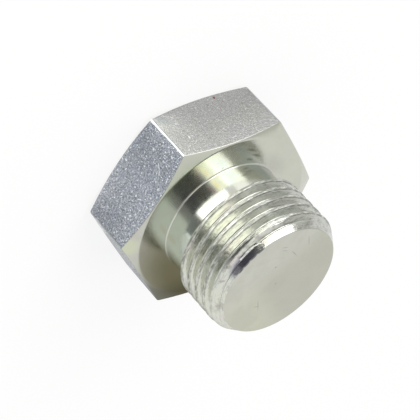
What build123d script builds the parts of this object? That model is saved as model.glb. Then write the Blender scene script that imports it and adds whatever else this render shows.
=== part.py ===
from build123d import *
import math
import os

# Hydraulic threaded plug, one solid, millimetres.
# It stands on the outer face of its hexagon head: z is 0 on that face and the shank points up.

# Head
across_flats = 24.0           # wrench size
head_height = 8.4             # outer face to seat face
edge_round = 0.35             # radius on the six upright edges
outer_inset = 0.48            # the outer chamfer starts this far inside the flats
outer_chamfer_angle = 17.5    # degrees from the outer face
seat_inset = 0.2              # the flat ring that presses on the seal stops this far inside the flats
seat_chamfer_angle = 20.0     # degrees from the seat face

# Neck between the seat and the thread
neck_diameter = 15.9
neck_length = 3.9             # seat face to the edge of the first crest
neck_fillet = 0.2             # radius in the inner corner
shoulder_angle = 10.0         # degrees from square, where the neck ends at the thread

# Shank and thread
thread_size = 18.0            # nominal metric size
thread_allowance = 0.15       # how much the turned crests are under the nominal size
thread_pitch = 1.5
crest_share = 0.22            # flat left on the crest, as a share of the pitch
root_share = 1 / 8            # flat in the root, as a share of the pitch
flank_angle = 30.0            # half of the sixty degree groove
shank_length = 12.0           # seat face to tip
tip_diameter = 15.6           # flat end face
tip_chamfer_length = 1.45     # along the axis

# Where the cutter begins, in the open space round the neck
groove_start_angle = 97.0     # degrees round the axis
groove_start_gap = 0.12       # between the cutter and the shoulder there
cutter_margin = 0.6           # share of the crest width that the cutter may cover outside the metal
blank_margin = 1.0            # the head disc reaches this far past the corners before milling

# Sizes worked out from those above
corner_radius = across_flats / 2 / math.cos(math.radians(30))
blank_radius = corner_radius + blank_margin
outer_radius = across_flats / 2 - outer_inset
seat_radius = across_flats / 2 - seat_inset
neck_radius = neck_diameter / 2
crest_radius = (thread_size - thread_allowance) / 2
tip_radius = tip_diameter / 2
seat_z = head_height
tip_z = seat_z + shank_length
shoulder_z = seat_z + neck_length
neck_top_z = shoulder_z - (crest_radius - neck_radius) * math.tan(math.radians(shoulder_angle))
crest_width = thread_pitch * crest_share
root_width = thread_pitch * root_share
flank_slope = math.tan(math.radians(flank_angle))
groove_depth = (thread_pitch - crest_width - root_width) / 2 / flank_slope
root_radius = crest_radius - groove_depth
cutter_reach = cutter_margin * crest_width / 2 / flank_slope
cutter_half_width = root_width / 2 + (groove_depth + cutter_reach) * flank_slope
groove_start_z = neck_top_z - groove_start_gap - cutter_half_width
groove_turns = math.ceil((tip_z + thread_pitch / 2 - groove_start_z) / thread_pitch)


def chamfer_drop(angle, flat_radius):
    """Height that a face chamfer loses between its flat circle and the edge of the blank."""
    return math.tan(math.radians(angle)) * (blank_radius - flat_radius)


def turned_blank():
    """Head disc, neck, shoulder and shank, turned in one setting before flats and thread."""
    low = chamfer_drop(outer_chamfer_angle, outer_radius)
    high = seat_z - chamfer_drop(seat_chamfer_angle, seat_radius)
    inner = neck_radius + neck_fillet
    with BuildPart() as blank:
        with BuildSketch(Plane.XZ):
            with BuildLine():
                Polyline((0, 0), (outer_radius, 0), (blank_radius, low), (blank_radius, high),
                         (seat_radius, seat_z), (inner, seat_z))
                RadiusArc((inner, seat_z), (neck_radius, seat_z + neck_fillet), neck_fillet)
                Polyline((neck_radius, seat_z + neck_fillet), (neck_radius, neck_top_z),
                         (crest_radius, shoulder_z), (crest_radius, tip_z - tip_chamfer_length),
                         (tip_radius, tip_z), (0, tip_z), (0, 0))
            make_face()
        revolve(axis=Axis.Z)
    return blank.part


def hexagon_bar():
    """Six wrench flats with lightly rounded upright edges, one corner to the front."""
    with BuildPart() as bar:
        with BuildSketch():
            RegularPolygon(radius=corner_radius, side_count=6, rotation=30)
        extrude(amount=head_height)
        fillet(bar.edges().filter_by(Axis.Z), radius=edge_round)
    return bar.part


def shank_room():
    """Plain cylinder above the head, which keeps the shank while the flats are cut."""
    with BuildPart() as room:
        with Locations((0, 0, seat_z)):
            Cylinder(radius=corner_radius, height=shank_length,
                     align=(Align.CENTER, Align.CENTER, Align.MIN))
    return room.part


def groove_outline():
    """Groove outline in a plane through the axis, at the start of the helix."""
    half_root = root_width / 2
    deep = groove_depth + cutter_reach
    place = Plane(origin=(root_radius, 0, groove_start_z), x_dir=(1, 0, 0), z_dir=(0, 1, 0))
    with BuildSketch(place) as outline:
        Polygon((0, -half_root), (deep, -cutter_half_width), (deep, cutter_half_width),
                (0, half_root), align=None)
    return outline.sketch


def groove_turn():
    """One turn of the groove cutter."""
    with BuildPart() as cutter:
        with BuildLine():
            Helix(pitch=thread_pitch, height=thread_pitch, radius=root_radius,
                  center=(0, 0, groove_start_z))
        add(groove_outline())
        sweep(is_frenet=True)
    return cutter.part.rotate(Axis.Z, groove_start_angle)


def threaded_plug():
    """The finished plug: blank, flats, then the groove turn after turn to past the tip."""
    plug = turned_blank() & (hexagon_bar() + shank_room())
    one_turn = groove_turn()
    for turn in range(groove_turns):
        plug = plug - one_turn.moved(Location((0, 0, thread_pitch * turn)))
    return plug


os.makedirs("parts", exist_ok=True)
export_step(threaded_plug(), "parts/threaded_plug.step")
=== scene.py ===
# %% [markdown]
# A hydraulic threaded plug closes a port in a pump or valve block. The real one is cut from a bar
# of hexagon steel: the lathe leaves the head, faces the seat, turns the neck and the shank, and
# then cuts the thread. Last comes a thin bright coat of zinc.
#
# The imported model gives the place and the size, so it is loaded first.

# %% Load the imported model
import bpy
import math
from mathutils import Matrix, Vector


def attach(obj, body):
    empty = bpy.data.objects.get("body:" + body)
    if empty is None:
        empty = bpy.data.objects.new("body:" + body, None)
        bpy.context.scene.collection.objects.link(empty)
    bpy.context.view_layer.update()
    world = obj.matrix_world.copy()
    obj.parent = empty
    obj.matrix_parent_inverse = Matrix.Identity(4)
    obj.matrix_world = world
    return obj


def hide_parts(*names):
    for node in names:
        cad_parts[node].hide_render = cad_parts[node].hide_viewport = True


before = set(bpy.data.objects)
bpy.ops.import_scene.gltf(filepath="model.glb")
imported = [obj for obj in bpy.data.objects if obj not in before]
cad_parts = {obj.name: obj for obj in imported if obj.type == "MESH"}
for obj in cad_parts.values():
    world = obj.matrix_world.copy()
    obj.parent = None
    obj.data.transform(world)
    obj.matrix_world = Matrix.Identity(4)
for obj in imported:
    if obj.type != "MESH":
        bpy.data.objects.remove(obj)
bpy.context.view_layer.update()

print("nodes:", list(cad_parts))

# %% [markdown]
# All sizes are in millimetres, as on a workshop drawing, and are multiplied by mm where Blender
# needs metres. Height starts at the outer face of the head, which the plug stands on.

# %% Sizes from the drawing
mm = 0.001
across_flats = 24.0
corner_radius = across_flats / 2 / math.cos(math.radians(30))
head_height = 8.4
neck_radius = 7.95
crest_radius = 8.925
tip_radius = 7.8
tip_height = 20.4
chamfer_length = 1.7
chamfer_foot = tip_height - chamfer_length
neck_length = 3.9
shoulder = head_height + neck_length
pitch = 1.5
root_radius = 8.074
print("corners at", round(corner_radius, 3), "shoulder at", round(shoulder, 2),
      "chamfer from", round(chamfer_foot, 2))

# %% [markdown]
# A few small helpers keep the steps short. An operator works on everything that is selected, so
# each step starts by clearing the selection. In edit mode the parts to shape are then picked by
# place.

# %% Helpers for selecting and for edit mode
def only(obj):
    """Selects one object, makes it active and leaves edit mode."""
    if bpy.context.object and bpy.context.object.mode != "OBJECT":
        bpy.ops.object.mode_set(mode="OBJECT")
    bpy.ops.object.select_all(action="DESELECT")
    obj.select_set(True)
    bpy.context.view_layer.objects.active = obj


def edit(obj, kind="VERT"):
    """Opens edit mode with nothing selected."""
    only(obj)
    bpy.ops.object.mode_set(mode="EDIT")
    bpy.ops.mesh.select_mode(type=kind)
    bpy.ops.mesh.select_all(action="DESELECT")


def edit_all(obj):
    """Opens edit mode with everything selected."""
    edit(obj)
    bpy.ops.mesh.select_all(action="SELECT")


def done():
    bpy.ops.object.mode_set(mode="OBJECT")


def pick(obj, kind, test):
    """Selects the vertices, edges or faces of obj that pass a test, and stays in edit mode."""
    edit(obj, kind)
    done()
    mesh = obj.data
    items = {"VERT": mesh.vertices, "EDGE": mesh.edges, "FACE": mesh.polygons}[kind]
    found = 0
    for item in items:
        item.select = bool(test(item))
        found += item.select
    bpy.ops.object.mode_set(mode="EDIT")
    return found


def open_edges(obj):
    """Counts the points on edges without exactly two faces. A closed mesh has none."""
    edit(obj)
    bpy.ops.mesh.select_non_manifold()
    done()
    return sum(v.select for v in obj.data.vertices)


def seal(obj, nearest):
    """Merges points nearer than this many millimetres, and turns all faces outwards."""
    edit_all(obj)
    bpy.ops.mesh.remove_doubles(threshold=nearest * mm)
    bpy.ops.mesh.normals_make_consistent(inside=False)
    done()


print("helpers ready")

# %% [markdown]
# A turned piece is drawn as one outline beside the axis, and other shapes start as a chain of
# points too. A plane is merged to a single vertex, the vertex goes to the first place, and each
# further point is extruded from the last.
#
# A corner that gets rounded has a helper point on both sides, just beyond the rounding. The walls
# then keep their flat shading right up to it.

# %% Helpers that draw a chain and an outline
beyond = 0.03


def chain(name, places):
    """Joins places by straight edges. The places are vectors in metres."""
    bpy.ops.object.select_all(action="DESELECT")
    bpy.ops.mesh.primitive_plane_add(size=mm, location=(0, 0, 0))
    obj = bpy.context.object
    obj.name = name
    edit_all(obj)
    bpy.ops.mesh.merge(type="CENTER")
    bpy.ops.transform.translate(value=places[0])
    for here, there in zip(places, places[1:]):
        bpy.ops.mesh.extrude_vertices_move(TRANSFORM_OT_translate={"value": there - here})
    done()
    return obj


def outline(name, points):
    """Draws the outline of a turned piece. Each point is a radius and a height in millimetres."""
    return chain(name, [Vector((radius * mm, 0, height * mm)) for radius, height in points])


def beside(points, corners):
    """Adds the helper points beside each corner that will be rounded."""
    full = []
    for number, point in enumerate(points):
        here = Vector(point)
        size = corners.get(number, (0, 0))[0]
        if size:
            back = (Vector(points[number - 1]) - here).normalized() * (size + beyond)
            ahead = (Vector(points[number + 1]) - here).normalized() * (size + beyond)
            full += [tuple(here + back), point, tuple(here + ahead)]
        else:
            full.append(point)
    return full


def break_corner(obj, point, size, steps):
    """Rounds one corner of an outline, as a file breaks an edge."""
    place = Vector((point[0] * mm, 0, point[1] * mm))
    same_place = 0.004 * mm
    found = pick(obj, "VERT", lambda v: (v.co - place).length < same_place)
    bpy.ops.mesh.bevel(offset=size * mm, segments=steps, affect="VERTICES", clamp_overlap=True)
    done()
    return found


print("outline helpers ready")

# %% [markdown]
# The blank is the plug without flats and thread. Both faces of the head slope down towards the
# corners: that chamfer is what gives a hexagon head its curved edges. The seat is flat. The neck is
# narrower than the roots of the thread, so that the thread tool can run out into open space, and it
# ends below the first crest with an almost square shoulder. Its upper half narrows by less than a
# tenth of a millimetre, a trace of the relief tool: it can't be seen as a form, but it lets the
# neck mirror the bright table over the edge of the seat, as in the photograph.
#
# Each corner of the outline is broken a little, as plating and handling leave no edge truly sharp.
# Spinning the outline round the axis gives the same solid as the lathe does.

# %% Draw and spin the turned blank
blank_radius = corner_radius + 1.0
outer_radius = across_flats / 2 - 0.48
seat_radius = across_flats / 2 - 0.2
outer_slope = math.tan(math.radians(17.5))
seat_slope = math.tan(math.radians(20))
shoulder_slope = math.tan(math.radians(10))
low = outer_slope * (blank_radius - outer_radius)
high = head_height - seat_slope * (blank_radius - seat_radius)
neck_top = shoulder - (crest_radius - neck_radius) * shoulder_slope
relief_start = 10.3
relief = 0.07

turned_points = [
    (0, 0), (outer_radius, 0), (blank_radius, low), (blank_radius, high),
    (seat_radius, head_height), (neck_radius, head_height), (neck_radius, relief_start),
    (neck_radius - relief, neck_top), (crest_radius, shoulder), (crest_radius, chamfer_foot),
    (tip_radius, tip_height), (0, tip_height)]
# For each rounded corner: the number of its point, its radius in millimetres and its steps.
turned_corners = {1: (0.15, 3), 4: (0.10, 3), 5: (0.20, 4), 6: (0.30, 4), 7: (0.20, 3),
                  8: (0.05, 2), 9: (0.10, 3), 10: (0.07, 3)}
blank = outline("plug", beside(turned_points, turned_corners))
for number, (size, steps) in turned_corners.items():
    print("corner at", [round(value, 2) for value in turned_points[number]], "rounded:",
          break_corner(blank, turned_points[number], size, steps))
edit_all(blank)
bpy.ops.mesh.spin(steps=288, angle=math.tau, center=(0, 0, 0), axis=(0, 0, 1))
done()
seal(blank, 0.0005)
print("blank:", len(blank.data.polygons), "faces, open:", open_edges(blank))

# %% [markdown]
# The flats come from hexagon bar. A cylinder with six sides is that bar, and a small bevel rounds
# its long edges, as drawn bar has them. A narrow inset then keeps each flat's shading flat right up
# to those roundings.

# %% Hexagon bar
bar_length = 30
bar_middle = 14
edge_round = 0.35
bpy.ops.object.select_all(action="DESELECT")
bpy.ops.mesh.primitive_cylinder_add(vertices=6, radius=corner_radius * mm, depth=bar_length * mm,
                                    location=(0, 0, bar_middle * mm))
bar = bpy.context.object
bar.name = "bar"
bpy.ops.object.transform_apply(location=True, rotation=True, scale=True)
long_edges = pick(bar, "EDGE", lambda e: abs(
    bar.data.vertices[e.vertices[0]].co.z - bar.data.vertices[e.vertices[1]].co.z) > 0.01)
bpy.ops.mesh.bevel(offset=edge_round * math.tan(math.radians(30)) * mm, segments=5, profile=0.38,
                   affect="EDGES")
done()
print("long edges rounded:", long_edges)

sides = pick(bar, "FACE", lambda f: abs(f.normal.z) < 0.1 and f.area > 1e-4)
bpy.ops.mesh.inset(thickness=0.03 * mm, use_individual=True)
done()
print("flats with an inner edge:", sides)

# %% [markdown]
# Turning hexagon bar leaves what both solids share, so the blank keeps its intersection with the
# bar.

# %% Cut the flats
def cut(obj, tool, how):
    """Combines an object with a tool piece and throws the tool away."""
    only(obj)
    step = obj.modifiers.new("cut", "BOOLEAN")
    step.operation = how
    step.solver = "EXACT"
    step.object = tool
    bpy.ops.object.modifier_apply(modifier=step.name)
    only(tool)
    bpy.ops.object.delete()
    only(obj)


plug = blank
cut(plug, bar, "INTERSECT")
print("with flats:", len(plug.data.polygons), "faces, open:", open_edges(plug))

# %% [markdown]
# Where a flat meets the sloping faces, the edge is curved. On the real head these edges catch the
# light as a thin line, because plating and handling have rounded them, so they get a small bevel.

# %% Break the curved edges of the head
def between(edge, faces_of):
    """Says whether an edge lies between a wrench flat and a face that looks up or down."""
    sides = [plug.data.polygons[number].normal.z for number in faces_of.get(edge.index, [])]
    return (len(sides) == 2 and min(abs(side) for side in sides) < 0.1
            and max(abs(side) for side in sides) > 0.8)


edge_break = 0.05
edge_number = {edge.key: edge.index for edge in plug.data.edges}
faces_of = {}
for face in plug.data.polygons:
    for key in face.edge_keys:
        faces_of.setdefault(edge_number[key], []).append(face.index)
picked = pick(plug, "EDGE", lambda e: between(e, faces_of))
bpy.ops.mesh.bevel(offset=edge_break * mm, segments=3, affect="EDGES", clamp_overlap=False)
done()
print("curved edges rounded:", picked, "faces:", len(plug.data.polygons),
      "open:", open_edges(plug))

# %% [markdown]
# The thread is a groove of sixty degrees that winds round the shank. Its outline has a rounded
# root, and it flares a little at the top, so that the crests that it leaves have soft edges like a
# real thread after plating. The round root makes half the groove wider by 0.577 of its radius.
#
# The Screw modifier winds the outline up like a spring.

# %% Wind the groove cutter
turns = 7
steps = 216
slope = math.tan(math.radians(30))
root_round = 0.16
lip_round = 0.08
cutter_half = 0.72
groove_depth = crest_radius - root_radius
crest_half = 0.577 * root_round + groove_depth * slope
lip_middle = crest_half + lip_round * slope

root = [(root_radius + root_round * (1 - math.cos(math.radians(turn))),
         root_round * math.sin(math.radians(turn))) for turn in (12, 24, 36, 48, 60)]
lip = [(crest_radius - lip_round * (1 - math.cos(math.radians(turn))),
        lip_middle - lip_round * math.sin(math.radians(turn))) for turn in (60, 45, 30, 15)]
wall = [(root[-1][0] + beyond, root[-1][1] + beyond * slope),
        (lip[0][0] - beyond, lip[0][1] - beyond * slope)]
outside = [(crest_radius + 0.008, cutter_half), (crest_radius + 0.1, cutter_half)]
side = root + wall + lip + outside
ring = [(root_radius, 0.0)] + side + [(radius, -width) for radius, width in reversed(side)]
print("half groove at the crest:", round(crest_half, 3),
      "flat left:", round(pitch - 2 * lip_middle, 3))
cutter = outline("cutter", ring)
edit_all(cutter)
bpy.ops.mesh.edge_face_add()
bpy.ops.mesh.delete(type="ONLY_FACE")
done()
wind = cutter.modifiers.new("wind", "SCREW")
wind.axis = "Z"
wind.angle = math.tau
wind.screw_offset = pitch * mm
wind.iterations = turns
wind.steps = steps
wind.render_steps = steps
wind.use_smooth_shade = True
only(cutter)
bpy.ops.object.modifier_apply(modifier=wind.name)
print("cutter vertices:", len(cutter.data.vertices))

# %% [markdown]
# The spring is still an open tube, so both its ends are filled. On the lathe the tool runs out into
# the open space round the neck. The cutter's lower end is placed there too: nothing fades by hand,
# and the first crest grows out of the shoulder by itself, as on the real plug.

# %% Close the cutter and set it in place
edit(cutter)
bpy.ops.mesh.select_non_manifold()
bpy.ops.mesh.fill_holes(sides=0)
bpy.ops.mesh.select_all(action="SELECT")
bpy.ops.mesh.normals_make_consistent(inside=False)
done()
print("cutter open:", open_edges(cutter))

start_angle = 97.0
start_height = 11.324
only(cutter)
bpy.ops.transform.rotate(value=-math.radians(start_angle), orient_axis="Z",
                         center_override=(0, 0, 0))
bpy.ops.transform.translate(value=(0, 0, start_height * mm))
bpy.ops.object.transform_apply(location=True, rotation=True, scale=True)
low_end = min(cutter.data.vertices, key=lambda v: v.co.z).co
print("cutter starts near azimuth", round(math.degrees(math.atan2(low_end.y, low_end.x)), 1),
      "at height", round(low_end.z / mm, 2), "and the shoulder is at", round(neck_top, 2))

# %% [markdown]
# Taking the cutter away from the plug leaves the thread. Points that the cut has left almost on top
# of each other are merged, so that the mesh stays closed.

# %% Cut the thread
cut(plug, cutter, "DIFFERENCE")
seal(plug, 0.0002)
print("with thread:", len(plug.data.polygons), "faces, open:", open_edges(plug))

# %% [markdown]
# Where the thread tool left the tip, it pushed up a thin burr. It runs along the chamfer and curls
# over towards the tip face like a hook. A burr is a bent sliver of even thickness, so a thin tube
# along a chain of points is enough: the points are extruded, turned into a curve, given a round
# section, turned back into a mesh and joined to the metal.

# %% Burr at the end of the thread
burr_radius = 0.07
above_chamfer = 0.03
burr_places = [(-72.0, 19.64), (-75.3, 19.67), (-79.2, 19.62), (-83.6, 19.60), (-87.4, 19.64),
               (-90.4, 19.72), (-92.6, 19.80), (-94.1, 19.90), (-94.9, 20.04), (-95.0, 20.18),
               (-94.6, 20.28)]
burr_points = []
for turn, height in burr_places:
    down_chamfer = (tip_height - height) / chamfer_length * (crest_radius - tip_radius)
    radius = tip_radius + down_chamfer + above_chamfer
    burr_points.append(Vector((radius * math.cos(math.radians(turn)),
                               radius * math.sin(math.radians(turn)), height)) * mm)
burr_points.append(burr_points[-1] + Vector((0.02, 0.28, 0.03)) * mm)
burr = chain("burr", burr_points)
bpy.ops.object.convert(target="CURVE")
burr.data.bevel_depth = burr_radius * mm
burr.data.bevel_resolution = 3
burr.data.use_fill_caps = True
bpy.ops.object.convert(target="MESH")
burr = bpy.context.object
seal(burr, 0.0005)
print("burr open:", open_edges(burr))
cut(plug, burr, "UNION")
print("with burr:", len(plug.data.polygons), "faces, open:", open_edges(plug))

# %% [markdown]
# The walls of a machined part are smooth along the cut and sharp between two cuts. Shading smooth
# by angle gives just that: faces that meet at less than thirty-five degrees flow into each other.

# %% Shade the plug
smooth_below = 35
only(plug)
bpy.ops.object.shade_smooth_by_angle(angle=math.radians(smooth_below))
print("sharp edges:", sum(e.use_edge_sharp for e in plug.data.edges))

# %% [markdown]
# The finish differs from face to face. The flats keep the rough skin of the drawn bar under the
# zinc, so they are dull and full of tiny facets that glint. The lathe left the seat, the neck and
# the tip smooth, with fine rings. The thread tool tore the metal a little, so the thread is bright
# but uneven, with streaks that follow the groove.
#
# Each finish is a material of its own, built from small steps: a place on the object, a pattern on
# that place, and the shader. The helpers below name those steps. A pattern gives a number from 0 to
# 1 at every place, and a blend turns that number into a mix of two colours.

# %% Helpers for materials
thread_middle = 8.5


class Finish:
    """A metal finish with its nodes, so that the steps below stay short."""

    def __init__(self, name, metallic=1.0):
        self.material = bpy.data.materials.new(name)
        self.material.use_nodes = True
        self.nodes = self.material.node_tree.nodes
        self.links = self.material.node_tree.links
        self.shader = self.nodes["Principled BSDF"]
        self.shader.inputs["Metallic"].default_value = metallic
        self.place = self.nodes.new("ShaderNodeTexCoord").outputs["Object"]

    def put(self, value, socket):
        """Sets a number or a colour on a socket, or links another node to it."""
        if isinstance(value, tuple):
            socket.default_value = (*value, 1.0) if len(socket.default_value) == 4 else value
        elif isinstance(value, (int, float)):
            socket.default_value = value
        else:
            self.links.new(value, socket)

    def maths(self, kind, *values):
        node = self.nodes.new("ShaderNodeMath")
        node.operation = kind
        for socket, value in zip(node.inputs, values):
            self.put(value, socket)
        return node.outputs[0]

    def ramp(self, value, low, high, start=0.0, end=1.0):
        """Goes smoothly from start to end while the value goes from low to high."""
        node = self.nodes.new("ShaderNodeMapRange")
        node.interpolation_type = "SMOOTHSTEP"
        for socket, number in zip(("From Min", "From Max", "To Min", "To Max"),
                                  (low, high, start, end)):
            node.inputs[socket].default_value = number
        self.put(value, node.inputs["Value"])
        return node.outputs["Result"]

    def blend(self, factor, first, second):
        """Gives the first colour where the factor is 0, and the second where it is 1."""
        node = self.nodes.new("ShaderNodeMix")
        node.data_type = "RGBA"
        for socket, value in zip((node.inputs[0], node.inputs[6], node.inputs[7]),
                                 (factor, first, second)):
            self.put(value, socket)
        return node.outputs[2]

    def over(self, colour, share, strength, tint):
        """Lays a tint over a colour where share is 1, as strongly as strength says."""
        return self.blend(self.maths("MULTIPLY", share, strength), colour, tint)

    def noise(self, place, scale, detail=2.0, rough=0.5):
        node = self.nodes.new("ShaderNodeTexNoise")
        node.inputs["Scale"].default_value = scale
        node.inputs["Detail"].default_value = detail
        node.inputs["Roughness"].default_value = rough
        self.put(place, node.inputs["Vector"])
        return node.outputs["Fac"]

    def axes(self):
        """Gives the place along x, y and z in metres."""
        split = self.nodes.new("ShaderNodeSeparateXYZ")
        self.put(self.place, split.inputs[0])
        return split.outputs

    def mark(self, start, end, width, core=0.5):
        """Gives 1 on a straight mark between two places in millimetres, and 0 away from it."""
        start, end = Vector(start), Vector(end)
        node = self.nodes.new("ShaderNodeMapping")
        node.vector_type = "TEXTURE"
        node.inputs["Location"].default_value = (start + end) / 2 * mm
        node.inputs["Rotation"].default_value = (end - start).to_track_quat("X", "Z").to_euler()
        half = (end - start).length / 2 + width
        node.inputs["Scale"].default_value = Vector((half, width, width)) * mm
        self.put(self.place, node.inputs["Vector"])
        far = self.nodes.new("ShaderNodeVectorMath")
        far.operation = "LENGTH"
        self.links.new(node.outputs[0], far.inputs[0])
        return self.ramp(far.outputs["Value"], core, 1.0, 1.0, 0.0)

    def marks(self, places, core=0.5):
        """Puts several marks together. Each has a start, an end and a width."""
        total = 0.0
        for start, end, width in places:
            total = self.maths("MAXIMUM", total, self.mark(start, end, width, core))
        return total

    def round_place(self):
        """Gives the distance from the axis, the way round in metres, and the height."""
        x, y, z = self.axes()
        radius = self.maths("SQRT", self.maths("ADD", self.maths("MULTIPLY", x, x),
                                               self.maths("MULTIPLY", y, y)))
        way = self.maths("MULTIPLY", self.maths("ARCTAN2", y, x), thread_middle * mm)
        return radius, way, z

    def together(self, x, y, z):
        node = self.nodes.new("ShaderNodeCombineXYZ")
        for socket, value in zip(node.inputs, (x, y, z)):
            self.put(value, socket)
        return node.outputs[0]

    def bump(self, height, distance, strength=1.0, after=None):
        node = self.nodes.new("ShaderNodeBump")
        node.inputs["Strength"].default_value = strength
        node.inputs["Distance"].default_value = distance
        self.put(height, node.inputs["Height"])
        if after is not None:
            self.links.new(after, node.inputs["Normal"])
        return node.outputs["Normal"]

    def finish(self, colour, roughness, normal):
        self.put(colour, self.shader.inputs["Base Color"])
        self.put(roughness, self.shader.inputs["Roughness"])
        self.put(normal, self.shader.inputs["Normal"])
        return self.material


print("material helpers ready")

# %% [markdown]
# The skin of drawn bar is pitted like orange peel, on a scale of a tenth to a third of a
# millimetre. A fine noise pushes the shading in and out and makes those facets. A second, coarser
# one lets some areas glint more than others.
#
# The flats to one side are bluer and rougher than the others, and their colour is painted lighter
# towards the far corners, with brighter facets there: painted light across the head. The long
# edges are rubbed smooth, and a thin line along them is painted lighter as a highlight.
# Three small scrapes, a few dark pits and one red speck are where the photograph shows them.

# %% Dull zinc on the drawn flats
def drawn_flats():
    skin = Finish("drawn_bar_zinc")
    grain = skin.noise(skin.place, 5600.0, 3.0, 0.65)
    pits = skin.noise(skin.place, 2300.0, 2.0, 0.6)
    cloud = skin.noise(skin.place, 260.0, 3.0)
    flecks = skin.ramp(skin.noise(skin.place, 3900.0, 1.0), 0.60, 0.70)
    across = skin.axes()[0]
    # One side of the head gets bluer, rougher zinc, with painted light that grows towards the far
    # corners.
    blue_and_lit_side = skin.ramp(across, -0.3 * mm, 0.3 * mm)
    painted_light_far_end = skin.ramp(across, 1.5 * mm, 9.0 * mm)

    def tone(grey_side, near, far):
        """Gives one colour on the grey side, and two on the blue side, painted lighter from near to
        far.
        """
        return skin.blend(blue_and_lit_side, grey_side, skin.blend(painted_light_far_end, near, far))

    cool = tone((0.445, 0.45, 0.45), (0.46, 0.50, 0.56), (0.64, 0.68, 0.75))
    warm = tone((0.455, 0.455, 0.43), (0.45, 0.48, 0.53), (0.62, 0.65, 0.70))
    hollow = tone((0.38, 0.38, 0.37), (0.22, 0.24, 0.28), (0.30, 0.33, 0.38))
    glint = tone((0.54, 0.54, 0.53), (0.80, 0.84, 0.90), (0.96, 0.98, 1.0))
    colour = skin.blend(skin.ramp(cloud, 0.35, 0.65), cool, warm)
    colour = skin.blend(skin.ramp(grain, 0.38, 0.58), hollow, colour)
    colour = skin.blend(flecks, colour, glint)

    red_speck = skin.marks([((-7.84, -9.34, 0.68), (-7.79, -9.36, 0.80), 0.16)], 0.6)
    dark_pits = skin.marks([
        ((3.05, -12.09, 2.0), (3.15, -12.04, 2.1), 0.10),
        ((-6.61, -10.04, 1.5), (-6.5, -10.10, 1.7), 0.09)])
    scraped = skin.marks([
        ((2.61, -12.35, 5.13), (3.0, -12.12, 5.9), 0.12),
        ((3.0, -12.12, 5.9), (3.52, -11.82, 6.23), 0.10),
        ((-2.1, -12.64, 5.1), (-2.0, -12.70, 5.5), 0.11)])
    edge_side = skin.mark((-0.8, -13.4, 1.5), (-0.8, -13.4, 6.5), 1.3, 0.1)
    worn = skin.mark((-0.2, -13.74, 1.0), (-1.6, -12.93, 2.0), 1.0, 0.2)
    colour = skin.blend(red_speck, colour, (0.28, 0.03, 0.04))
    colour = skin.blend(dark_pits, colour, (0.26, 0.27, 0.29))
    colour = skin.blend(scraped, colour, (0.85, 0.86, 0.88))
    colour = skin.over(colour, edge_side, 0.45, (0.33, 0.34, 0.33))
    colour = skin.over(colour, worn, 0.75, (0.29, 0.31, 0.32))

    from_axis = skin.round_place()[0]
    # The middle of each long edge is rubbed smooth, and its colour is painted lighter as a thin
    # highlight.
    rubbed_and_highlight = skin.ramp(from_axis, 13.760 * mm, 13.772 * mm)
    colour = skin.blend(rubbed_and_highlight, colour, (0.53, 0.56, 0.57))
    roughness = skin.maths("ADD", skin.ramp(cloud, 0.3, 0.7, 0.10, 0.18),
                           skin.maths("MULTIPLY", scraped, 0.3))
    rough_side = skin.maths("ADD", 0.7, skin.maths("MULTIPLY", blue_and_lit_side, 0.5))
    skinned = skin.maths("MULTIPLY", rough_side, skin.maths(
        "SUBTRACT", 1.0, skin.maths("MULTIPLY", rubbed_and_highlight, 0.9)))
    normal = skin.bump(skin.maths("MULTIPLY", pits, skinned), 0.00012)
    normal = skin.bump(skin.maths("MULTIPLY", grain, skinned), 0.00017, 1.0, normal)
    return skin.finish(colour, roughness, normal)


flats = drawn_flats()
print("finish:", flats.name)

# %% [markdown]
# Turned faces carry a clear passivation on the zinc, thinner than light waves in places, so their
# colour drifts. The seat is cream to faint green, and the neck goes from green to blue-grey with a
# brown and a yellow stain. The tip face is warm, and its colour is painted lighter towards one side
# and towards the front and darker in the middle: painted shading across the face.
#
# Each of these is a blend of a few pale tints by place. They are kept apart here, so that each can
# be compared with the real face by itself.

# %% Tints of the seat, the neck and the tip, with painted shading on the tip
def seat_tint(metal, film, cloud):
    across = metal.axes()[0]
    tint = metal.blend(metal.ramp(film, 0.38, 0.62), (0.56, 0.57, 0.50), (0.54, 0.54, 0.49))
    tint = metal.blend(metal.ramp(cloud, 0.45, 0.75, 0.0, 0.35), tint, (0.50, 0.50, 0.44))
    greenish = metal.mark((-1.5, -11.5, 8.2), (4.5, -10.5, 8.2), 3.0, 0.2)
    tint = metal.over(tint, greenish, 0.8, (0.47, 0.51, 0.40))
    lime = metal.mark((11.4, -7.2, 8.0), (11.2, -6.4, 8.0), 1.8, 0.3)
    tint = metal.over(tint, lime, 0.9, (0.595, 0.624, 0.466))
    creamy = metal.ramp(across, -7.5 * mm, -10.0 * mm)
    return metal.over(tint, creamy, 0.5, (0.57, 0.58, 0.49))


def neck_tint(metal, film):
    across = metal.axes()[0]
    tint = metal.blend(metal.ramp(film, 0.35, 0.65), (0.57, 0.59, 0.55), (0.58, 0.60, 0.57))
    tint = metal.blend(metal.ramp(across, 3.0 * mm, 4.8 * mm), tint, (0.67, 0.73, 0.66))
    tint = metal.blend(metal.ramp(across, -3.0 * mm, -1.8 * mm, 1.0, 0.0), tint,
                       (0.56, 0.605, 0.59))
    brown = metal.mark((-0.1, -7.95, 9.2), (-0.7, -7.92, 10.5), 0.6, 0.1)
    tint = metal.over(tint, brown, 0.7, (0.60, 0.47, 0.50))
    yellow = metal.mark((-1.2, -7.86, 8.7), (-1.3, -7.84, 10.4), 0.5, 0.1)
    return metal.over(tint, yellow, 0.6, (0.66, 0.60, 0.38))


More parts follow.
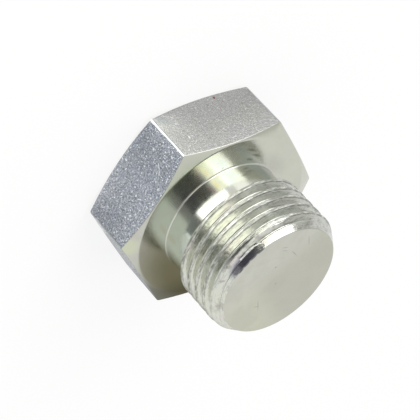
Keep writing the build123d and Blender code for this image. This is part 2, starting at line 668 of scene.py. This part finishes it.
def tip_tint_and_shade(metal):
    across, deep, height = metal.axes()
    # Lighter towards one side and towards the front, darker in the middle: painted shading on the
    # tip face.
    tint = metal.blend(metal.ramp(across, 0.5 * mm, 4.8 * mm), (0.485, 0.485, 0.415),
                       (0.555, 0.555, 0.46))
    tint = metal.blend(metal.ramp(deep, -4.5 * mm, 0.0, 0.8, 0.0), tint, (0.56, 0.56, 0.505))
    darker = metal.ramp(metal.noise(metal.place, 420.0, 3.0), 0.4, 0.7, 0.0, 0.3)
    return metal.blend(darker, tint, (0.44, 0.44, 0.37))


print("tints ready")

# %% [markdown]
# The lathe leaves rings a few hundredths of a millimetre apart, which only roughen the reflection a
# little across them: a noise that changes with the radius and the height alone makes such rings.
#
# Darker strokes lie on the seat and at the foot of the neck, with a haze on the seat, and there are
# a few short scratches on the tip. A piece of the tip's rim is darkened as a painted dark
# reflection.
# These are marks: soft strokes between two places, laid over the tints.

# %% Bright zinc on the turned faces
def turned_faces():
    metal = Finish("turned_zinc")
    from_axis, way, height = metal.round_place()
    line = metal.maths("ADD", from_axis, metal.maths("MULTIPLY", height, 1.7))
    rings = metal.noise(metal.together(line, 0.0, 0.0), 7000.0, 2.0)
    film = metal.noise(metal.place, 150.0, 2.0, 0.4)
    cloud = metal.noise(metal.place, 700.0, 3.0)
    on_tip = metal.ramp(height, (tip_height - 0.1) * mm, (tip_height - 0.05) * mm)
    on_neck = metal.maths("SUBTRACT", metal.ramp(height, 8.45 * mm, 8.6 * mm), on_tip)
    colour = metal.blend(on_neck, seat_tint(metal, film, cloud), neck_tint(metal, film))
    stain = metal.ramp(metal.noise(metal.place, 330.0, 2.0), 0.52, 0.64, 0.0, 0.4)
    colour = metal.over(colour, on_neck, stain, (0.60, 0.56, 0.42))
    colour = metal.blend(on_tip, colour, tip_tint_and_shade(metal))

    # Darker strokes on the seat and at the foot of the neck.
    dark_strokes = metal.marks([
        ((-6.61, -8.06, 8.4), (-7.7, -6.2, 8.4), 0.30),
        ((-6.9, -6.5, 8.4), (-7.84, -4.7, 8.4), 0.28),
        ((-6.1, -6.3, 8.4), (-6.7, -5.4, 8.4), 0.25),
        ((-3.11, -7.96, 8.45), (-2.9, -7.9, 8.6), 0.22)], 0.0)
    hazy = metal.mark((-8.4, -3.8, 8.4), (-9.2, 0.6, 8.4), 1.7, 0.0)
    # A piece of the tip's rim is darkened: a painted dark reflection.
    painted_rim_reflection = metal.marks([
        ((-0.41, -7.79, 20.4), (0.68, -7.77, 20.4), 0.22),
        ((0.68, -7.77, 20.4), (1.75, -7.60, 20.4), 0.24),
        ((1.75, -7.60, 20.4), (2.79, -7.28, 20.4), 0.22),
        ((2.79, -7.28, 20.4), (3.6, -6.92, 20.4), 0.16)], 0.4)
    scratched = metal.marks([
        ((-3.04, -3.5, 20.4), (-3.27, -1.91, 20.4), 0.06),
        ((-5.7, -3.9, 20.4), (-5.14, -2.14, 20.4), 0.06),
        ((3.34, 0.3, 20.4), (4.02, 2.29, 20.4), 0.07),
        ((4.3, 0.9, 20.4), (3.6, 1.6, 20.4), 0.06),
        ((-0.47, -2.97, 20.4), (-0.40, -2.90, 20.4), 0.12),
        ((0.48, -0.13, 20.4), (0.6, 0.0, 20.4), 0.10),
        ((-2.2, -5.4, 20.4), (-2.9, -4.6, 20.4), 0.05),
        ((-2.0, -4.9, 20.4), (-2.7, -4.1, 20.4), 0.05)])
    colour = metal.over(colour, dark_strokes, 0.75, (0.20, 0.20, 0.16))
    colour = metal.over(colour, hazy, 0.35, (0.40, 0.40, 0.35))
    colour = metal.over(colour, painted_rim_reflection, 0.8, (0.10, 0.10, 0.13))
    colour = metal.over(colour, scratched, 0.7, (0.30, 0.30, 0.26))

    roughness = metal.maths("SUBTRACT", metal.ramp(cloud, 0.3, 0.7, 0.16, 0.22),
                            metal.maths("MULTIPLY", on_neck, 0.04))
    normal = metal.bump(rings, 0.000004, 0.5)
    normal = metal.bump(cloud, 0.00002, 0.35, normal)
    return metal.finish(colour, roughness, normal)


turned = turned_faces()
print("finish:", turned.name)

# %% [markdown]
# The thread tool cuts slower and leaves torn metal. The streaks follow the groove, so their pattern
# is laid out along the helix: the way round is stretched, and the height is corrected by the climb.
# The crests are scuffed to a pale, broken line, with a line of painted shade beside it. One side of
# the thread is torn more than the other, the chamfer is blotched, and part of the chamfer carries a
# painted bluish dark reflection.

# %% Uneven zinc on the thread
def thread_flanks():
    metal = Finish("thread_zinc")
    from_axis, way, height = metal.round_place()
    climb = metal.maths("SUBTRACT", height,
                        metal.maths("MULTIPLY", way, pitch / (math.tau * thread_middle)))
    along = metal.together(metal.maths("MULTIPLY", way, 0.11), climb, from_axis)
    streaks = metal.noise(along, 5200.0, 3.0, 0.6)
    tears = metal.noise(metal.place, 1500.0, 3.0, 0.6)
    film = metal.noise(metal.place, 190.0, 2.0, 0.4)
    spots = metal.noise(metal.together(metal.maths("MULTIPLY", way, 0.35), height, from_axis),
                        4200.0, 2.0)

    far_side = metal.ramp(metal.axes()[0], -5.0 * mm, 3.0 * mm, 1.0, 0.0)
    crest = metal.ramp(from_axis, (crest_radius - 0.07) * mm, (crest_radius - 0.03) * mm)
    beside_crest = metal.maths("SUBTRACT", metal.ramp(
        from_axis, (crest_radius - 0.22) * mm, (crest_radius - 0.12) * mm), crest)
    on_chamfer = metal.ramp(height, (chamfer_foot + 0.1) * mm, (chamfer_foot + 0.4) * mm)

    colour = metal.blend(metal.ramp(film, 0.40, 0.60), (0.67, 0.68, 0.60), (0.65, 0.67, 0.61))
    rosy = metal.ramp(metal.noise(metal.place, 330.0, 1.0), 0.54, 0.64, 0.0, 0.5)
    colour = metal.blend(rosy, colour, (0.70, 0.64, 0.62))
    colour = metal.blend(far_side, colour, (0.57, 0.58, 0.54))
    torn_side = metal.maths("ADD", 0.45, metal.maths("MULTIPLY", far_side, 0.45))
    colour = metal.over(colour, metal.ramp(streaks, 0.52, 0.68), torn_side, (0.32, 0.33, 0.30))
    blotches = metal.ramp(metal.noise(metal.place, 900.0, 3.0, 0.6), 0.48, 0.66, 0.0, 0.6)
    colour = metal.over(colour, on_chamfer, blotches, (0.33, 0.32, 0.30))
    # Bluish dark on part of the chamfer: a painted dark reflection of the room.
    chamfer_dark_reflection = metal.mark((0.6, -8.28, 19.9), (4.6, -6.9, 19.9), 0.9, 0.4)
    colour = metal.over(colour, chamfer_dark_reflection, metal.maths("MULTIPLY", on_chamfer, 0.8), (0.26, 0.25, 0.31))

    # A patchy dark line beside each crest: painted shade.
    shaded = metal.maths("MULTIPLY", beside_crest, metal.ramp(spots, 0.38, 0.64, 0.85, 0.10))
    shaded_side = metal.maths("ADD", 0.6, metal.maths("MULTIPLY", far_side, 0.4))
    colour = metal.over(colour, shaded, shaded_side, (0.22, 0.23, 0.21))
    colour = metal.over(colour, crest, metal.ramp(spots, 0.40, 0.58, 0.8, 0.0), (0.30, 0.31, 0.28))
    colour = metal.over(colour, crest, metal.ramp(spots, 0.56, 0.66, 0.0, 0.8), (0.80, 0.80, 0.76))

    roughness = metal.maths("ADD", metal.ramp(tears, 0.3, 0.7, 0.14, 0.26),
                            metal.maths("MULTIPLY", crest, 0.24))
    roughness = metal.maths("SUBTRACT", roughness, metal.maths("MULTIPLY", on_chamfer, 0.06))
    normal = metal.bump(streaks, 0.000016, 0.9)
    normal = metal.bump(tears, 0.00004, 0.7, normal)
    normal = metal.bump(metal.maths("MULTIPLY", spots, crest), 0.00005, 0.8, normal)
    return metal.finish(colour, roughness, normal)


thread = thread_flanks()
print("finish:", thread.name)

# %% [markdown]
# The burr is raw and rough, so it scatters light and looks paler than the polished metal round it.

# %% Pale zinc on the burr
def burr_metal():
    metal = Finish("burr_zinc")
    tears = metal.noise(metal.place, 3000.0, 2.0)
    colour = metal.blend(metal.ramp(tears, 0.35, 0.6), (0.62, 0.62, 0.60), (0.95, 0.95, 0.92))
    return metal.finish(colour, 0.55, metal.bump(tears, 0.00003, 0.6))


pale = burr_metal()
print("finish:", pale.name)

# %% [markdown]
# Which face takes which finish follows from where it lies and which way it looks. Whatever nothing
# else claims is turned metal. The burr is found by its distance from the chain that it was made
# from.

# %% Give each face its finish
plug.data.materials.clear()
for finish in (turned, flats, thread, pale):
    plug.data.materials.append(finish)


def give(number, kind, test):
    """Gives the finish with this number to the faces that pass a test."""
    found = pick(plug, "FACE", test)
    plug.active_material_index = number
    bpy.ops.object.material_slot_assign()
    done()
    print("faces of", kind, found)


def on_burr(place):
    """Says whether a place lies on the burr's surface."""
    for here, there in zip(burr_points, burr_points[1:]):
        share = (place - here).dot(there - here) / (there - here).length_squared
        off = (place - here.lerp(there, max(0.0, min(1.0, share)))).length
        if (burr_radius - 0.010) * mm < off < (burr_radius + 0.002) * mm:
            return True
    return False


give(1, "drawn bar:", lambda f: abs(f.normal.z) < 0.1 and f.center.z < head_height * mm
     and f.center.xy.length > 11 * mm)
give(2, "thread:", lambda f: (neck_top - 0.05) * mm < f.center.z < (tip_height - 0.1) * mm
     and f.center.xy.length > 7.9 * mm)
give(3, "burr:", lambda f: f.center.z > 19.4 * mm and f.area < 0.2 * mm * mm and on_burr(f.center))

# %% [markdown]
# The camera is where the photograph was taken from, worked out from the edges in it: a long lens,
# a quarter of a metre away, turned so that the shank comes down towards the right.

# %% Camera
camera_data = bpy.data.cameras.new("camera")
camera_data.sensor_width = 36
camera_data.lens = 189.31
camera_data.clip_start = 0.01
camera_data.clip_end = 10
camera = bpy.data.objects.new("camera", camera_data)
bpy.context.scene.collection.objects.link(camera)
camera.location = (0.023429, -0.221552, 0.150467)
camera.rotation_euler = (math.radians(-49.024), math.radians(-34.189), math.radians(159.895))
bpy.context.scene.camera = camera
bpy.context.scene.view_settings.view_transform = "Standard"
print("camera is", round(camera.location.length * 1000), "mm away")

# %% [markdown]
# Polished metal shows the room more than itself, so the light is set like in a product studio: a
# window to one side, a dark room behind the camera, and white all round. Upright cards and cards on
# the table stand for the things whose reflections lie on the neck and the thread. Only reflections
# see the cards, so they throw no light and no shadow on the table.

# %% Helpers for lamps and cards
def softbox(name, direction, height, distance, width, tall, radiance, colour=(1, 1, 1)):
    """A square lamp that looks at the plug, from a direction and a height in degrees."""
    data = bpy.data.lights.new(name, "AREA")
    data.shape = "RECTANGLE"
    data.size = width
    data.size_y = tall
    data.energy = radiance * math.pi * width * tall
    data.color = colour
    lamp = bpy.data.objects.new(name, data)
    bpy.context.scene.collection.objects.link(lamp)
    a, e = math.radians(direction), math.radians(height)
    towards = Vector((math.cos(a) * math.cos(e), math.sin(a) * math.cos(e), math.sin(e)))
    lamp.location = towards * distance + Vector((0, 0, 0.01))
    lamp.rotation_euler = towards.to_track_quat("Z", "Y").to_euler()
    return lamp


def glow_of(obj, shade):
    """Gives a card its plain shade, and lets only reflections see it."""
    material = bpy.data.materials.new(obj.name)
    material.use_nodes = True
    tree = material.node_tree
    tree.nodes.clear()
    glow = tree.nodes.new("ShaderNodeEmission")
    glow.inputs["Color"].default_value = (*shade, 1)
    end = tree.nodes.new("ShaderNodeOutputMaterial")
    tree.links.new(glow.outputs[0], end.inputs["Surface"])
    obj.data.materials.append(material)
    obj.visible_camera = False
    obj.visible_shadow = False
    obj.visible_diffuse = False


def wall_card(name, direction, distance, width, bottom, top, shade):
    """An upright card that faces the plug."""
    bpy.ops.object.select_all(action="DESELECT")
    a = math.radians(direction)
    bpy.ops.mesh.primitive_plane_add(size=1, location=(
        distance * math.cos(a), distance * math.sin(a), (bottom + top) / 2),
        rotation=(math.pi / 2, 0, a + math.pi / 2))
    obj = bpy.context.object
    obj.name = name
    obj.scale = (width, top - bottom, 1)
    bpy.ops.object.transform_apply(location=True, rotation=True, scale=True)
    glow_of(obj, shade)
    return obj


def table_card(name, corners, shade):
    """A flat card just above the table; each corner is a distance in mm and a direction."""
    above_table = 0.4
    obj = chain(name, [Vector((far * math.cos(math.radians(turn)),
                               far * math.sin(math.radians(turn)), above_table)) * mm
                       for far, turn in corners])
    edit_all(obj)
    bpy.ops.mesh.edge_face_add()
    done()
    glow_of(obj, shade)
    return obj


print("studio helpers ready")

# %% [markdown]
# Directions are degrees round the plug, with 0 to its right and -90 to its front. The light cards
# on the table make the bright patches on the neck and the thread, and the dark ones the bands
# between them. The dark room behind the camera makes the dark bands of the neck and the chamfer.

# %% Set up the studio
softbox("window", -146, 28, 0.6, 0.31, 0.5, 2.2)
softbox("window_side", -120.5, 28, 0.6, 0.225, 0.5, 1.7, (1.0, 0.99, 0.80))
wall_card("dark_room", -75, 0.6, 0.56, -0.02, 0.75, (0.13, 0.13, 0.14))
wall_card("dim_corner", -103, 0.64, 0.08, -0.02, 0.75, (0.55, 0.55, 0.54))
wall_card("dim_room", -42, 0.64, 0.20, -0.02, 0.75, (0.42, 0.42, 0.42))
wall_card("grey_wall", 166, 0.6, 0.64, 0.1, 0.95, (0.72, 0.73, 0.70))
table_card("light_strip", [(24.3, -90), (24.3, -61), (70, -61), (70, -102), (34, -103),
                           (27.5, -115), (24.9, -113)], (2.7, 2.7, 2.6))
table_card("light_side", [(22, -128), (70, -128), (70, -150), (22, -150)], (1.5, 1.5, 1.48))
table_card("shade_left", [(22, -156), (30, -156), (30, -185), (22, -185)], (0.60, 0.63, 0.61))
table_card("shade_side", [(14.2, -112), (22, -112), (22, -150), (22, -190), (14.2, -190),
                          (14.2, -150)], (0.8, 0.8, 0.79))
table_card("dark_strip", [(23, -60), (27, -59), (70, -52), (70, -20), (27, -30), (23, -28)],
           (0.2, 0.21, 0.2))
table_card("shade_near", [(14.5, -60), (23, -60), (23, -28), (14.5, -24)], (0.35, 0.35, 0.38))
table_card("light_front", [(14.0, -106), (14.0, -87), (24, -90), (27, -104)], (2.6, 2.6, 2.5))
table_card("shade_front", [(14.5, -86), (14.5, -60), (24, -62), (24, -88)], (0.45, 0.45, 0.47))
table_card("shade_right", [(14.5, -20), (29, -24), (30, 10), (29, 60), (14.5, 60)],
           (0.66, 0.66, 0.65))

# %% [markdown]
# In the photograph the plug lies on its side, on one flat and on the rim of its tip. The table
# under it is in its shade, and the seat mirrors that shade in a warm brown. A card with a soft dark
# middle stands where that table was. Its lower part is darker still, as the shade is deepest where
# the head touches the table.

# %% Shade under the lying plug
up = Vector((-0.481, -0.834, -0.27)).normalized()
shade_reach = 16
bpy.ops.object.select_all(action="DESELECT")
bpy.ops.mesh.primitive_plane_add(size=44 * mm, location=Vector((7.42, 8.87, 10.99)) * mm)
under = bpy.context.object
under.name = "shade_under"
under.rotation_euler = up.to_track_quat("Z", "Y").to_euler()
glow_of(under, (1, 1, 1))
shade = under.data.materials[0].node_tree
glow = shade.nodes["Emission"]
on_card = shade.nodes.new("ShaderNodeTexCoord").outputs["Object"]

from_middle = shade.nodes.new("ShaderNodeVectorMath")
from_middle.operation = "LENGTH"
shade.links.new(on_card, from_middle.inputs[0])
wide = shade.nodes.new("ShaderNodeMath")
wide.operation = "DIVIDE"
wide.inputs[1].default_value = shade_reach * mm
shade.links.new(from_middle.outputs["Value"], wide.inputs[0])
soft = shade.nodes.new("ShaderNodeValToRGB")
soft.color_ramp.interpolation = "EASE"
for stop, position, colour in zip(soft.color_ramp.elements, (0.12, 0.75),
                                  ((0.262, 0.239, 0.161, 1), (1, 1, 1, 1))):
    stop.position = position
    stop.color = colour
shade.links.new(wide.outputs[0], soft.inputs[0])
shade.links.new(soft.outputs[0], glow.inputs["Color"])

apart = shade.nodes.new("ShaderNodeSeparateXYZ")
shade.links.new(on_card, apart.inputs[0])
foot_dark = shade.nodes.new("ShaderNodeMapRange")
foot_dark.interpolation_type = "SMOOTHSTEP"
for socket, number in (("From Min", -2.4 * mm), ("From Max", 0.4 * mm), ("To Min", 0.58),
                       ("To Max", 1.0)):
    foot_dark.inputs[socket].default_value = number
shade.links.new(apart.outputs["Y"], foot_dark.inputs["Value"])
shade.links.new(foot_dark.outputs["Result"], glow.inputs["Strength"])
print("shade card leans", round(math.degrees(up.angle(Vector((0, 0, 1))))), "degrees")

# %% [markdown]
# The world is plain white, as a light tent would be. It is what most of the polished faces mirror.

# %% White world
world = bpy.data.worlds.new("studio")
world.use_nodes = True
bpy.context.scene.world = world
sky = world.node_tree.nodes["Background"]
sky.inputs["Color"].default_value = (1, 1, 1, 1)
sky.inputs["Strength"].default_value = 1.0

# %% [markdown]
# The table is white paper, wide enough to be the whole background. It is mostly as bright as the
# world wherever the camera or a reflection meets it, and the plug still shades it a little.

# %% White table
bpy.ops.object.select_all(action="DESELECT")
bpy.ops.mesh.primitive_plane_add(size=6, location=(0, 0, 0))
floor = bpy.context.object
floor.name = "floor"
bpy.ops.object.transform_apply(location=True, rotation=True, scale=True)
paper = Finish("white_paper", 0.0)
paper.nodes.remove(paper.shader)
dull = paper.nodes.new("ShaderNodeBsdfDiffuse")
dull.inputs["Color"].default_value = (0.85, 0.85, 0.85, 1)
glow = paper.nodes.new("ShaderNodeEmission")
glow.inputs["Color"].default_value = (1, 1, 1, 1)
path = paper.nodes.new("ShaderNodeLightPath")
seen = paper.maths("MAXIMUM", path.outputs["Is Camera Ray"], paper.maths(
    "MAXIMUM", path.outputs["Is Glossy Ray"], path.outputs["Is Transmission Ray"]))
both = paper.nodes.new("ShaderNodeMixShader")
paper.put(paper.maths("MULTIPLY", seen, 0.8), both.inputs[0])
paper.links.new(dull.outputs[0], both.inputs[1])
paper.links.new(glow.outputs[0], both.inputs[2])
paper.links.new(both.outputs[0], paper.nodes["Material Output"].inputs["Surface"])
floor.data.materials.append(paper.material)
print("table is", floor.dimensions.x, "m wide")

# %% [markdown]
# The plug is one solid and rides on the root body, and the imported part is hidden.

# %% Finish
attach(plug, "root")
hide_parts("threaded_plug")
